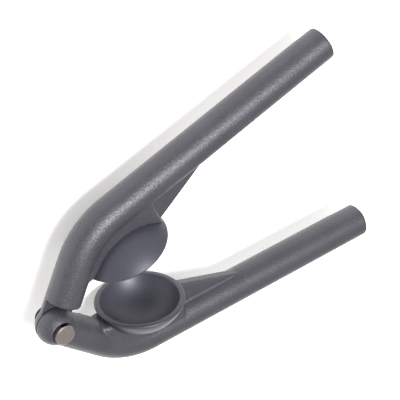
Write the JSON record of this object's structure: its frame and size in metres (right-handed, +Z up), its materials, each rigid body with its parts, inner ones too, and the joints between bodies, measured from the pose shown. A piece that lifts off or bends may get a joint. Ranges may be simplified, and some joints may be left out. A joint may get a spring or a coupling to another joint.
{
  "type": "nutcracker",
  "caption": "Hand nutcracker: two bent round levers lapped and pinned at one end, each with a round cup facing the other and a thin gusset running out to the grip.",
  "frame": {"origin": "below the middle of the tool as it lies on its side with the levers 22 degrees apart, on the plane through the lowest point of its cups", "axes": "+Z up, along the hinge axis, out of the side with the pin's head; +X from the hinge towards the grips, along the lower cup's rim; +Y the way the lower cup opens, towards the upper lever"},
  "size_m": [0.1678, 0.12, 0.039],
  "materials": {
    "lever_finish": "cast, with a matt dark grey coating of very fine grain",
    "cup_finish": "cast, smoother than the levers, with the same dark grey coating in satin",
    "pin_steel": "bare steel, flat ground faces gone slightly warm and dull"
  },
  "bodies": {
    "lower_lever": {"lower_handle": "lever_finish", "lower_cup": "cup_finish", "hinge_pin": "pin_steel", "hinge_cap": "pin_steel"},
    "upper_lever": {"upper_handle": "lever_finish", "upper_cup": "cup_finish"}
  },
  "joints": [
    {"name": "hinge", "type": "hinge", "parent": "lower_lever", "child": "upper_lever", "pos_m": [-0.07568, -0.02658, 0.01951], "axis": [0, 0, 1], "range_deg": [-31, 150]}
  ]
}
